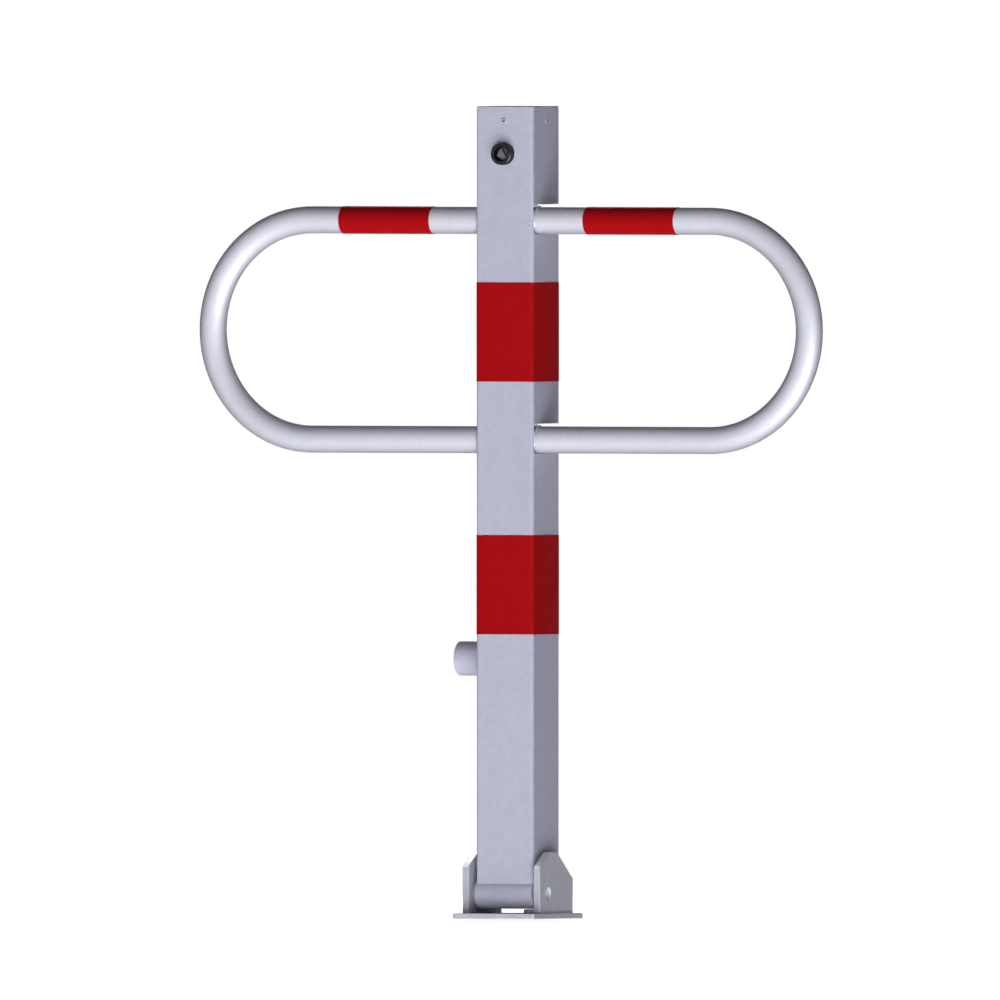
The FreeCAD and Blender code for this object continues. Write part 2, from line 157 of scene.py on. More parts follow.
def remap(tree, value, low, high, to_low, to_high):
    """Stretch a value from one range to another, clamped at both ends."""
    node = add_node(tree, "ShaderNodeMapRange", {"clamp": True}, Value=value)
    node.inputs["From Min"].default_value = low
    node.inputs["From Max"].default_value = high
    node.inputs["To Min"].default_value = to_low
    node.inputs["To Max"].default_value = to_high
    return node.outputs["Result"]


# The mix node has a pair of sockets for each kind of value; these are the places of its colours.
first_colour_place = 6
second_colour_place = 7
mixed_colour_place = 2


def blend_colours(tree, factor, first, second):
    """Mix two colours by a factor; each is a constant or a socket."""
    node = tree.nodes.new("ShaderNodeMix")
    node.data_type = "RGBA"
    given_values = {"Factor": factor, first_colour_place: first, second_colour_place: second}
    for place, value in given_values.items():
        if isinstance(value, bpy.types.NodeSocket):
            tree.links.new(value, node.inputs[place])
        else:
            node.inputs[place].default_value = value
    return node.outputs[mixed_colour_place]


print("value and colour helpers ready")

# %% [markdown]
# ## Shared effects
# Hot-dip galvanising leaves zinc crystals a few millimetres wide, each a slightly different grey,
# with cloudy patches and faint runs down the part. The first group gives that tone and the fine
# orange-peel height. The second finds edges by comparing a rounded normal with the true one, so
# handled edges can be brighter. The third draws the honeycomb of sealed cells in reflective film.

# %% Zinc crystals, clouds and runs
zinc_inputs = {"Vector": "NodeSocketVector", "Crystals": "NodeSocketFloat", "Runs": "NodeSocketFloat"}
zinc_outputs = {"Tone": "NodeSocketFloat", "Height": "NodeSocketFloat"}
zinc, given, wanted = new_group("zinc_bloom", zinc_inputs, zinc_outputs)
run_stretch = (55.0, 55.0, 2.5)
cloud_scale = 11.0
peel_scale = 850.0
cloud_weight = 0.45
crystal_weight = 0.3
crystal_rise = 0.5
place = given.outputs["Vector"]
crystals = add_node(zinc, "ShaderNodeTexVoronoi", Vector=place, Scale=given.outputs["Crystals"])
crystal_tone = add_node(zinc, "ShaderNodeSeparateColor", Color=crystals.outputs["Color"]).outputs["Red"]
clouds = add_node(zinc, "ShaderNodeTexNoise", Vector=place, Scale=cloud_scale, Detail=4.0)
stretched = add_node(zinc, "ShaderNodeMapping", Vector=place, Scale=run_stretch)
runs = add_node(zinc, "ShaderNodeTexNoise", Vector=stretched.outputs["Vector"], Scale=1.0, Detail=3.0)
peel = add_node(zinc, "ShaderNodeTexNoise", Vector=place, Scale=peel_scale, Detail=2.0)
run_share = math_node(zinc, "MULTIPLY", runs.outputs[0], given.outputs["Runs"])
cloud_share = math_node(zinc, "MULTIPLY", clouds.outputs[0], cloud_weight)
crystal_share = math_node(zinc, "MULTIPLY", crystal_tone, crystal_weight)
tone = math_node(zinc, "ADD", math_node(zinc, "ADD", run_share, cloud_share), crystal_share)
height = math_node(zinc, "ADD", peel.outputs[0], math_node(zinc, "MULTIPLY", crystal_tone, crystal_rise))
zinc.links.new(tone, wanted.inputs["Tone"])
zinc.links.new(height, wanted.inputs["Height"])
print("group", zinc.name, "nodes", len(zinc.nodes))

# %% Worn edges
edge_inputs = {"Vector": "NodeSocketVector", "Width": "NodeSocketFloat"}
worn, given, wanted = new_group("worn_edges", edge_inputs, {"Mask": "NodeSocketFloat"})
patch_scale = 140.0
patch_tones = (0.38, 0.6)
least_wear = 0.25
match_on_flat = 0.999
match_on_edge = 0.93
rounded = add_node(worn, "ShaderNodeBevel", {"samples": 4}, Radius=given.outputs["Width"])
flat = worn.nodes.new("ShaderNodeNewGeometry")
same_way = add_node(worn, "ShaderNodeVectorMath", {"operation": "DOT_PRODUCT"}, _0=rounded.outputs[0],
                    _1=flat.outputs["Normal"])
bend = remap(worn, same_way.outputs["Value"], match_on_flat, match_on_edge, 0.0, 1.0)
patches = add_node(worn, "ShaderNodeTexNoise", Vector=given.outputs["Vector"], Scale=patch_scale,
                   Detail=3.0)
patchy = remap(worn, patches.outputs[0], *patch_tones, least_wear, 1.0)
worn.links.new(math_node(worn, "MULTIPLY", bend, patchy), wanted.inputs["Mask"])
print("group", worn.name, "nodes", len(worn.nodes))

# %% Honeycomb of the reflective film
cell_inputs = {"Along": "NodeSocketFloat", "Across": "NodeSocketFloat", "Cell": "NodeSocketFloat"}
honeycomb, given, wanted = new_group("honeycomb", cell_inputs, {"Seam": "NodeSocketFloat"})
cell_tall = math.sqrt(3)
cell_rim = (0.40, 0.5)
seam_width = (0.12, 0.03)


def centre_distance(tree, along, across, shift):
    """Distance to the nearest centre of one of the two lattices that make a honeycomb."""
    column = math_node(tree, "FRACT", math_node(tree, "ADD", along, shift))
    near_x = math_node(tree, "SUBTRACT", column, 0.5)
    rows = math_node(tree, "DIVIDE", across, cell_tall)
    row = math_node(tree, "FRACT", math_node(tree, "ADD", rows, shift))
    near_row = math_node(tree, "SUBTRACT", row, 0.5)
    near_y = math_node(tree, "MULTIPLY", near_row, cell_tall)
    squares = math_node(tree, "ADD", math_node(tree, "MULTIPLY", near_x, near_x),
                        math_node(tree, "MULTIPLY", near_y, near_y))
    return math_node(tree, "SQRT", squares)


cells_along = math_node(honeycomb, "DIVIDE", given.outputs["Along"], given.outputs["Cell"])
cells_across = math_node(honeycomb, "DIVIDE", given.outputs["Across"], given.outputs["Cell"])
first_lattice = centre_distance(honeycomb, cells_along, cells_across, 0.0)
second_lattice = centre_distance(honeycomb, cells_along, cells_across, 0.5)
difference = math_node(honeycomb, "SUBTRACT", first_lattice, second_lattice)
to_seam = math_node(honeycomb, "ABSOLUTE", difference)
own_centre = math_node(honeycomb, "MINIMUM", first_lattice, second_lattice)
seam = remap(honeycomb, own_centre, *cell_rim, 0.0, 1.0)
between = remap(honeycomb, to_seam, *seam_width, 0.0, 1.0)
honeycomb.links.new(math_node(honeycomb, "MAXIMUM", seam, between), wanted.inputs["Seam"])
print("group", honeycomb.name, "nodes", len(honeycomb.nodes))

# %% [markdown]
# ## Finishes
# Each finish is one material. The zinc is only partly a mirror: its skin has weathered to a satin
# grey with a cool tint, so most of its brightness is soft. The ring's drawn tube is smoother than
# the post's, and its colour carries painted shade: it is painted darker where the tube turns away
# from the eye. The film is a satin skin over red cells, and the lock is blackened steel.

# %% Helpers for materials


def new_finish(name):
    """Empty material with its shader, and the object's own coordinates."""
    finish = bpy.data.materials.new(name)
    finish.use_nodes = True
    tree = finish.node_tree
    shader = tree.nodes["Principled BSDF"]
    place = tree.nodes.new("ShaderNodeTexCoord").outputs["Object"]
    return finish, tree, shader, place


def bump_from(tree, shader, height, depth, strength):
    """Raise the surface by a height value."""
    bump = add_node(tree, "ShaderNodeBump", Height=height, Strength=strength, Distance=depth)
    tree.links.new(bump.outputs["Normal"], shader.inputs["Normal"])


print("material helpers ready")

# %% Helper for galvanised steel
zinc_sheen = 0.0
zinc_edge_tint = (0.5, 0.5, 0.56, 1)
zinc_tones = (0.25, 0.75)
zinc_wear_width = 0.0012
zinc_wear_share = 0.5
peel_depth = 0.0002
peel_strength = 0.25
# Painted shade: the colour is blended towards this grey where the surface turns away from the eye.
painted_limb_shade_grey = (0.1, 0.1, 0.12, 1)
painted_limb_shade_facing = (0.1, 0.8)


def zinc_finish(name, dark, light, edge, crystals_per_metre, runs, smooth, rough, metallic, painted_limb_shade=0.0):
    """Galvanised steel: two greys by tone, brighter edges, roughness that follows the tone.

    A painted shade share paints the colour darker where the surface turns away from the eye.
    """
    finish, tree, shader, place = new_finish(name)
    bloom = place_group(tree, zinc, Vector=place, Crystals=crystals_per_metre, Runs=runs)
    tone = remap(tree, bloom.outputs["Tone"], *zinc_tones, 0.0, 1.0)
    wear = place_group(tree, worn, Vector=place, Width=zinc_wear_width)
    skin = blend_colours(tree, tone, dark, light)
    # Painted shade: the colour darkens as the surface turns away from the eye, standing in for the
    # tube's shading.
    facing = add_node(tree, "ShaderNodeLayerWeight", Blend=0.5).outputs["Facing"]
    painted_limb_shade_share = remap(tree, facing, *painted_limb_shade_facing, 0.0, painted_limb_shade)
    skin = blend_colours(tree, painted_limb_shade_share, skin, painted_limb_shade_grey)
    edge_share = math_node(tree, "MULTIPLY", wear.outputs["Mask"], zinc_wear_share)
    tree.links.new(blend_colours(tree, edge_share, skin, edge), shader.inputs["Base Color"])
    tree.links.new(remap(tree, tone, 0.0, 1.0, rough, smooth), shader.inputs["Roughness"])
    shader.inputs["Metallic"].default_value = metallic
    shader.inputs["Specular IOR Level"].default_value = zinc_sheen
    shader.inputs["Specular Tint"].default_value = zinc_edge_tint
    bump_from(tree, shader, bloom.outputs["Height"], peel_depth, peel_strength)
    return finish


print("zinc edges of", zinc_wear_width, "m")

# %% Galvanised steel
post_zinc = zinc_finish(
    "galvanised_post", (0.535, 0.535, 0.67, 1), (0.59, 0.59, 0.735, 1), (0.74, 0.75, 0.84, 1),
    crystals_per_metre=190.0, runs=0.25, smooth=0.46, rough=0.58, metallic=0.0)
foot_zinc = zinc_finish(
    "galvanised_foot", (0.49, 0.495, 0.575, 1), (0.555, 0.56, 0.64, 1), (0.76, 0.77, 0.82, 1),
    crystals_per_metre=170.0, runs=0.2, smooth=0.42, rough=0.54, metallic=0.07)
# The ring's colour carries painted shade at its limbs.
ring_zinc = zinc_finish(
    "galvanised_ring", (0.67, 0.67, 0.77, 1), (0.725, 0.725, 0.825, 1), (0.80, 0.81, 0.88, 1),
    crystals_per_metre=260.0, runs=0.15, smooth=0.45, rough=0.53, metallic=0.08, painted_limb_shade=0.57)
weld_zinc = zinc_finish(
    "galvanised_weld", (0.46, 0.46, 0.56, 1), (0.56, 0.56, 0.67, 1), (0.68, 0.69, 0.76, 1),
    crystals_per_metre=420.0, runs=0.1, smooth=0.38, rough=0.52, metallic=0.15)
print("zinc finishes", post_zinc.name, foot_zinc.name, ring_zinc.name, weld_zinc.name)

# %% Bright plated steel, blackened steel and the stud
grain_tones = (0.3, 0.7)
metal_wear_width = 0.0006
grain_depth = 0.0001
grain_strength = 0.15


def metal_finish(name, dark, light, edge, smooth, rough, metallic, grain_per_metre, shine=0.5):
    """Turned or plated metal: fine grain in colour and roughness, and bared edges."""
    finish, tree, shader, place = new_finish(name)
    grain = add_node(tree, "ShaderNodeTexNoise", Vector=place, Scale=grain_per_metre, Detail=5.0)
    tone = remap(tree, grain.outputs[0], *grain_tones, 0.0, 1.0)
    wear = place_group(tree, worn, Vector=place, Width=metal_wear_width)
    skin = blend_colours(tree, tone, dark, light)
    tree.links.new(blend_colours(tree, wear.outputs["Mask"], skin, edge), shader.inputs["Base Color"])
    tree.links.new(remap(tree, tone, 0.0, 1.0, rough, smooth), shader.inputs["Roughness"])
    shader.inputs["Metallic"].default_value = metallic
    shader.inputs["Specular IOR Level"].default_value = shine
    bump_from(tree, shader, grain.outputs[0], grain_depth, grain_strength)
    return finish


plated_steel = metal_finish(
    "plated_steel", (0.44, 0.44, 0.50, 1), (0.60, 0.60, 0.66, 1), (0.78, 0.78, 0.82, 1),
    smooth=0.22, rough=0.36, metallic=0.6, grain_per_metre=420.0)
lock_black = metal_finish(
    "blackened_lock", (0.004, 0.005, 0.007, 1), (0.010, 0.011, 0.014, 1), (0.03, 0.032, 0.036, 1),
    smooth=0.36, rough=0.5, metallic=0.0, grain_per_metre=600.0, shine=0.15)
# The lock's stud is of this steel. It is also painted into the rivet's bore as shade.
stud_steel_and_bore_shade = metal_finish(
    "oiled_stud_and_bore_shade", (0.09, 0.095, 0.095, 1), (0.15, 0.155, 0.155, 1), (0.24, 0.24, 0.24, 1),
    smooth=0.36, rough=0.5, metallic=0.3, grain_per_metre=500.0, shine=0.3)
bush_nylon = metal_finish(
    "bush_nylon", (0.26, 0.26, 0.27, 1), (0.31, 0.31, 0.32, 1), (0.38, 0.38, 0.39, 1),
    smooth=0.42, rough=0.55, metallic=0.0, grain_per_metre=300.0, shine=0.3)
print("metals", plated_steel.name, lock_black.name, stud_steel_and_bore_shade.name, bush_nylon.name)

# %% Red reflective film
film_cell = 0.0032
film_red = (0.45, 0.006, 0.009, 1)
film_seam_red = (0.36, 0.003, 0.005, 1)
film_seam_share = 0.35
film_sheen = 0.008
film_roughness = (0.42, 0.54)
seam_depth = 0.0001
seam_strength = 0.12
dust_scale = 60.0
dust_tones = (0.35, 0.7)
dust_share = 0.3
smear_tones = (0.3, 0.7)


def film_finish(name, along, across, tree_parts):
    """Satin red film whose honeycomb follows the two distances given."""
    finish, tree, shader, place = tree_parts
    finish.name = name
    cells = place_group(tree, honeycomb, Along=along, Across=across, Cell=film_cell)
    seam = cells.outputs["Seam"]
    dust = add_node(tree, "ShaderNodeTexNoise", Vector=place, Scale=dust_scale, Detail=4.0).outputs[0]
    shade = remap(tree, dust, *dust_tones, 0.0, dust_share)
    seam_share = math_node(tree, "MULTIPLY", seam, film_seam_share)
    red = blend_colours(tree, seam_share, film_red, film_seam_red)
    dusty = blend_colours(tree, shade, red, film_seam_red)
    tree.links.new(dusty, shader.inputs["Base Color"])
    tree.links.new(remap(tree, dust, *smear_tones, *film_roughness), shader.inputs["Roughness"])
    shader.inputs["Specular IOR Level"].default_value = film_sheen
    bump_from(tree, shader, seam, seam_depth, seam_strength)
    return finish


print("film cells of", film_cell, "m")

# %% Film on the post and on the ring
flat_parts = new_finish("film")
_, flat_tree, _, flat_place = flat_parts
axes = add_node(flat_tree, "ShaderNodeSeparateXYZ", Vector=flat_place)
round_the_post = math_node(flat_tree, "ADD", axes.outputs["X"], axes.outputs["Y"])
post_film_red = film_finish("film_on_post", round_the_post, axes.outputs["Z"], flat_parts)

ring_low, ring_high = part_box("barrier_ring")
tube_radius = (ring_high.y - ring_low.y) / 2
ring_y = (ring_high.y + ring_low.y) / 2
ring_upper_z = ring_high.z - tube_radius
ring_lower_z = ring_low.z + tube_radius

tube_parts = new_finish("film")
_, tube_tree, _, tube_place = tube_parts
axes = add_node(tube_tree, "ShaderNodeSeparateXYZ", Vector=tube_place)
off_y = math_node(tube_tree, "SUBTRACT", axes.outputs["Y"], ring_y)
off_z = math_node(tube_tree, "SUBTRACT", axes.outputs["Z"], ring_upper_z)
turn = math_node(tube_tree, "ARCTAN2", off_z, off_y)
round_the_tube = math_node(tube_tree, "MULTIPLY", turn, tube_radius)
ring_film_red = film_finish("film_on_ring", axes.outputs["X"], round_the_tube, tube_parts)
print("films", post_film_red.name, ring_film_red.name)

# %% [markdown]
# ## Floor, world and lamps
# The picture's ground and sky are plain white. The world and the floor show white to the camera and
# in reflections only, and give the object a dim, even light otherwise, so the steel isn't washed
# out. The main light comes from far off, low in front and a little to the right, as from a wide lit
# table below the floor: the front is the brighter face, and the undersides of the tubes are brighter
# than their tops. The floor lets that light through. A second far lamp, further to the right, shows
# only as sheen: it puts the broad bright streaks on the ring's bends. A faint lamp overhead and a
# wide one behind, above head height, fill the tops and the back and give the floor its soft shadow.

# %% Floor plane
floor_side = 60.0
bpy.ops.object.select_all(action="DESELECT")
bpy.ops.mesh.primitive_plane_add(size=floor_side, location=(0, 0, 0))
floor = bpy.context.object
floor.name = "pale_floor"
floor.visible_shadow = False
print("floor", floor.name, "side", floor_side)

# %% Floor paint
paint_dark = (0.72, 0.72, 0.72, 1)
paint_light = (0.76, 0.76, 0.76, 1)
floor_paint = bpy.data.materials.new("pale_floor")
floor_paint.use_nodes = True
tree = floor_paint.node_tree
tree.nodes.clear()
near_glow = 0.85
far_glow = 1.0
near_radius = 0.4
far_radius = 1.2
path = tree.nodes.new("ShaderNodeLightPath")
ground = tree.nodes.new("ShaderNodeTexCoord").outputs["Object"]
speckle = add_node(tree, "ShaderNodeTexNoise", Vector=ground, Scale=3.0, Detail=2.0)
paint_tone = blend_colours(tree, speckle.outputs[0], paint_dark, paint_light)
matt = add_node(tree, "ShaderNodeBsdfDiffuse", Color=paint_tone)
away = add_node(tree, "ShaderNodeVectorMath", {"operation": "LENGTH"}, _0=ground).outputs["Value"]
floor_glow = remap(tree, away, near_radius, far_radius, near_glow, far_glow)
seen = math_node(tree, "MAXIMUM", path.outputs["Is Camera Ray"], path.outputs["Is Glossy Ray"])
seen = math_node(tree, "MAXIMUM", seen, path.outputs["Is Transmission Ray"])
glow = add_node(tree, "ShaderNodeEmission", Color=(1, 1, 1, 1),
                Strength=math_node(tree, "MULTIPLY", seen, floor_glow))
both = add_node(tree, "ShaderNodeAddShader", _0=matt.outputs[0], _1=glow.outputs[0])
add_node(tree, "ShaderNodeOutputMaterial", Surface=both.outputs[0])
floor.data.materials.append(floor_paint)
print("floor paint nodes", len(tree.nodes))

# %% World
world = bpy.data.worlds.new("white_studio")
world.use_nodes = True
bpy.context.scene.world = world
tree = world.node_tree
tree.nodes.clear()
dim_light = 0.012
path = tree.nodes.new("ShaderNodeLightPath")
seen = math_node(tree, "MAXIMUM", path.outputs["Is Camera Ray"], path.outputs["Is Glossy Ray"])
seen = math_node(tree, "MAXIMUM", seen, path.outputs["Is Transmission Ray"])
sky = add_node(tree, "ShaderNodeBackground", Color=(1, 1, 1, 1),
               Strength=remap(tree, seen, 0.0, 1.0, dim_light, 1.0))
add_node(tree, "ShaderNodeOutputWorld", Surface=sky.outputs[0])
print("world", world.name, "dim light", dim_light)

# %% Lamps


def soft_lamp(name, azimuth, distance, height, width, tall, watts, aim_at):
    """Rectangular lamp at an azimuth round the post, turned to a height on its axis."""
    angle = math.radians(azimuth)
    spot = Vector((math.sin(angle) * distance, -math.cos(angle) * distance, height))
    bpy.ops.object.light_add(type="AREA", location=spot)
    lamp = bpy.context.object
    lamp.name = name
    lamp.data.shape = "RECTANGLE"
    lamp.data.size = width
    lamp.data.size_y = tall
    lamp.data.energy = watts
    lamp.rotation_euler = (Vector((0, 0, aim_at)) - spot).to_track_quat("-Z", "Y").to_euler()
    lamp.visible_camera = False


def far_lamp(name, azimuth, elevation, strength, softness, sheen_only=False):
    """Lamp so far off that its light is even all over the object."""
    around = math.radians(azimuth)
    above = math.radians(elevation)
    level = math.cos(above)
    towards = Vector((math.sin(around) * level, -math.cos(around) * level, math.sin(above)))
    bpy.ops.object.light_add(type="SUN", location=towards)
    lamp = bpy.context.object
    lamp.name = name
    lamp.data.energy = strength
    lamp.data.angle = math.radians(softness)
    lamp.rotation_euler = (-towards).to_track_quat("-Z", "Y").to_euler()
    lamp.visible_diffuse = not sheen_only
    # The floor stops rays that set out to find a lamp below it, so that light is sampled at the lamp.
    lamp.data.cycles.use_multiple_importance_sampling = sheen_only


far_lamp("low_key", azimuth=22.5, elevation=-30, strength=3.1, softness=72)
far_lamp("glint", azimuth=57, elevation=-33, strength=12.0, softness=35, sheen_only=True)
soft_lamp("overhead", azimuth=30, distance=0.6, height=2.6, width=1.5, tall=1.5, watts=1.5, aim_at=0.4)
soft_lamp("back_fill", azimuth=205, distance=2.6, height=1.6, width=1.6, tall=1.2, watts=50, aim_at=0.45)
lamp_names = [piece.name for piece in bpy.context.scene.objects if piece.type == "LIGHT"]
print("lamps", lamp_names)

# %% [markdown]
# ## Modelling helpers
# Operators act on what is selected, so each helper first clears the selection. Faces and edges are
# then chosen by where they are or which way they point, just as they would be picked by hand.

# %% Helpers for selecting


def pick(piece):
    """Select one piece alone and make it active."""
    bpy.ops.object.select_all(action="DESELECT")
    piece.select_set(True)
    bpy.context.view_layer.objects.active = piece


def start_editing(piece, mode):
    """Enter edit mode with nothing selected; mode is VERT, EDGE or FACE."""
    pick(piece)
    bpy.ops.object.mode_set(mode="EDIT")
    bpy.ops.mesh.select_mode(type=mode)
    bpy.ops.mesh.select_all(action="DESELECT")


def stop_editing():
    """Go back to object mode, which writes the edits into the mesh."""
    bpy.ops.object.mode_set(mode="OBJECT")


def choose_faces(piece, test):
    """Select the faces whose centre and normal pass a test."""
    mesh = bmesh.from_edit_mesh(piece.data)
    for face in mesh.faces:
        face.select_set(bool(test(face.calc_center_median(), face.normal)))
    bmesh.update_edit_mesh(piece.data)


def choose_edges(piece, test):
    """Select the edges whose middle and direction pass a test."""
    mesh = bmesh.from_edit_mesh(piece.data)
    mesh.normal_update()
    for edge in mesh.edges:
        first, last = edge.verts
        middle = (first.co + last.co) / 2
        direction = (last.co - first.co).normalized()
        edge.select_set(bool(test(middle, direction)))
    bmesh.update_edit_mesh(piece.data)


print("selection helpers ready")

# %% Helpers for shaping
bevel_from_angle = math.radians(35)
smooth_below_angle = math.radians(40)
merge_distance = 1e-6
loose_triangle_merge = 2e-6
flat_within_angle = math.radians(0.2)


def apply_modifier(piece, kind, **settings):
    """Add a modifier, set it and apply it."""
    pick(piece)
    modifier = piece.modifiers.new(kind.lower(), kind)
    for key, value in settings.items():
        setattr(modifier, key, value)
    bpy.ops.object.modifier_apply(modifier=modifier.name)


def soften_edges(piece, width, steps=3):
    """Round every sharp edge, and keep the large faces' shading flat."""
    apply_modifier(piece, "BEVEL", width=width, segments=steps, limit_method="ANGLE",
                   angle_limit=bevel_from_angle, use_clamp_overlap=False, harden_normals=False)
    pick(piece)
    bpy.ops.object.shade_smooth_by_angle(angle=smooth_below_angle)
    apply_modifier(piece, "WEIGHTED_NORMAL", mode="FACE_AREA", weight=100, keep_sharp=True)


def clean_shell(piece):
    """Merge doubles and turn every face outwards."""
    start_editing(piece, "VERT")
    bpy.ops.mesh.select_all(action="SELECT")
    bpy.ops.mesh.remove_doubles(threshold=merge_distance)
    bpy.ops.mesh.normals_make_consistent(inside=False)
    stop_editing()


def settle(piece):
    """Move a piece's place, turn and size into its mesh."""
    pick(piece)
    bpy.ops.object.transform_apply(location=True, rotation=True, scale=True)


print("shaping helpers ready")

# %% Helpers for whole pieces


def finish_piece(piece, name, body, slot, material, *stands_for):
    """Name a piece, give it its finish and hang it on its body."""
    piece.name = name
    piece.data.name = name
    piece.data.materials.clear()
    piece.data.materials.append(material)
    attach(piece, body)
    if stands_for:
        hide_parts(*stands_for)
    print("piece", name, "faces", len(piece.data.polygons))


def copy_of(node):
    """Copy of a measured node's mesh: its loose triangles joined and its flat faces made whole."""
    piece = bpy.data.objects.new(node + "_copy", nodes[node].data.copy())
    bpy.context.scene.collection.objects.link(piece)
    start_editing(piece, "VERT")
    bpy.ops.mesh.select_all(action="SELECT")
    bpy.ops.mesh.remove_doubles(threshold=loose_triangle_merge)
    bpy.ops.mesh.dissolve_limited(angle_limit=flat_within_angle, delimit={"NORMAL"})
    stop_editing()
    return piece


print("piece helpers ready")

# %% [markdown]
# ## Steelwork: post, cap, hinge and base
# These are cut plates and tubes whose outlines are already right in the measured model. What a
# real cut edge has, and a drawing lacks, is a small rounding that zinc makes rounder still. So each
# is copied, its triangles are joined into whole faces, and its edges are softened with a bevel.
# The ears' slanted shoulders carry a painted highlight: those faces are chosen by their slope and get a
# much lighter finish of their own, which stands for light falling on them.

# %% Soften the steelwork's edges
slot_of_node = {}
for entry in frame["record"]["subparts"]:
    slot_of_node[entry["node"]] = entry["material_slot"]

dressed = {
    "post_tube": (0.0004, post_zinc),
    "post_cap": (0.0003, post_zinc),
    "hinge_barrel": (0.0005, post_zinc),
    "base_plate": (0.0006, foot_zinc),
    "hinge_ear_left": (0.0007, foot_zinc),
    "hinge_ear_right": (0.0007, foot_zinc),
    "keeper_block": (0.0003, plated_steel),
    "pivot_pin": (0.0003, plated_steel),
    "lock_spindle": (0.00025, stud_steel_and_bore_shade),
}
for node, (rounding, material) in dressed.items():
    piece = copy_of(node)
    soften_edges(piece, rounding)
    finish_piece(piece, node + "_dressed", body_of_node[node], slot_of_node[node], material, node)

# %% Painted highlight on the ears' shoulders
# Painted highlight: this near-white finish on the slanted shoulders stands for light falling on them.
painted_highlight_zinc = metal_finish(
    "painted_highlight_shoulder", (0.84, 0.84, 0.87, 1), (0.90, 0.90, 0.92, 1), (0.92, 0.92, 0.94, 1),
    smooth=0.36, rough=0.48, metallic=0.5, grain_per_metre=260.0)
edge_face_tilt = 0.05
gentlest_shoulder = 0.97
steepest_shoulder = 0.2


def shoulder_of(low, high):
    """Test for the slanted cut faces in the upper half of a plate that stands across X."""
    half_way = (low.z + high.z) / 2

    def is_shoulder(centre, normal):
        on_the_edge = centre.z > half_way and abs(normal.x) < edge_face_tilt
        return on_the_edge and steepest_shoulder < normal.z < gentlest_shoulder

    return is_shoulder


# Each ear's shoulder faces get the painted highlight finish.
for node in ("hinge_ear_left", "hinge_ear_right"):
    ear = bpy.data.objects[node + "_dressed"]
    ear.data.materials.append(painted_highlight_zinc)
    ear.active_material_index = 1
    start_editing(ear, "FACE")
    choose_faces(ear, shoulder_of(*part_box(node)))
    bpy.ops.object.material_slot_assign()
    stop_editing()
    print(ear.name, "bright faces", sum(face.material_index for face in ear.data.polygons))

# %% Finishes of the nodes that stay as measured
kept_finishes = {
    "rod_guide_upper": post_zinc,
    "rod_guide_middle": post_zinc,
    "rod_guide_lower": post_zinc,
    "lock_nut": plated_steel,
    "spindle_clip": plated_steel,
    "crank_disc": plated_steel,
    "crank_screw": plated_steel,
    "crank_pin": plated_steel,
    "rod_yoke": plated_steel,
    "yoke_pin": plated_steel,
    "locking_rod": plated_steel,
    "hinge_bush_left": bush_nylon,
    "hinge_bush_right": bush_nylon,
}
for node, material in kept_finishes.items():
    nodes[node].data.materials.clear()
    nodes[node].data.materials.append(material)
print("nodes kept as measured", len(kept_finishes))

# %% [markdown]
# ## Barrier ring
# The ring is one tube bent into a long loop. By hand it is a circle that is pulled along the upper
# run, spun round the right bend, pulled back along the lower run and spun round the left bend to
# meet its own start. That keeps the tube's section true all the way, with even faces in the bends.

# %% Pull and spin the ring
ring_bend_radius = (ring_upper_z - ring_lower_z) / 2
ring_middle_z = (ring_upper_z + ring_lower_z) / 2
half_run = ring_high.x - tube_radius - ring_bend_radius
ring_sides = 64
bend_steps = 56
bpy.ops.object.select_all(action="DESELECT")
bpy.ops.mesh.primitive_circle_add(vertices=ring_sides, radius=tube_radius, rotation=(0, math.pi / 2, 0),
                                  location=(-half_run, ring_y, ring_upper_z))
ring = bpy.context.object
settle(ring)
start_editing(ring, "EDGE")
bpy.ops.mesh.select_all(action="SELECT")
for side in (1, -1):
    bpy.ops.mesh.extrude_region_move(TRANSFORM_OT_translate={"value": (2 * half_run * side, 0, 0)})
    bpy.ops.mesh.spin(steps=bend_steps, angle=-math.pi, center=(half_run * side, ring_y, ring_middle_z),
                      axis=(0, 1, 0))
stop_editing()
clean_shell(ring)
pick(ring)
bpy.ops.object.shade_smooth()
finish_piece(ring, "barrier_ring_tube", "post", "galvanised_tube", ring_zinc, "barrier_ring")

# %% [markdown]
# ## Reflective film on the post
# A band of film is wrapped once round the post and laps over its own start at the back. By hand it
# is an open box with its upright corners rounded to the post's, a strip of the back face pulled out
# for the lap, and a thin wall given to the whole.

# %% Wrap the post
film_thickness = 0.0004
post_corner = 0.004
film_corner = post_corner + film_thickness
film_corner_steps = 8
film_smooth_angle = math.radians(30)
lap_half_width = 0.007
lap_rise = 0.0003
straight_up = 0.99
end_facing = 0.9


def upright(middle, direction):
    """Test for edges that run up the post."""
    return abs(direction.z) > straight_up


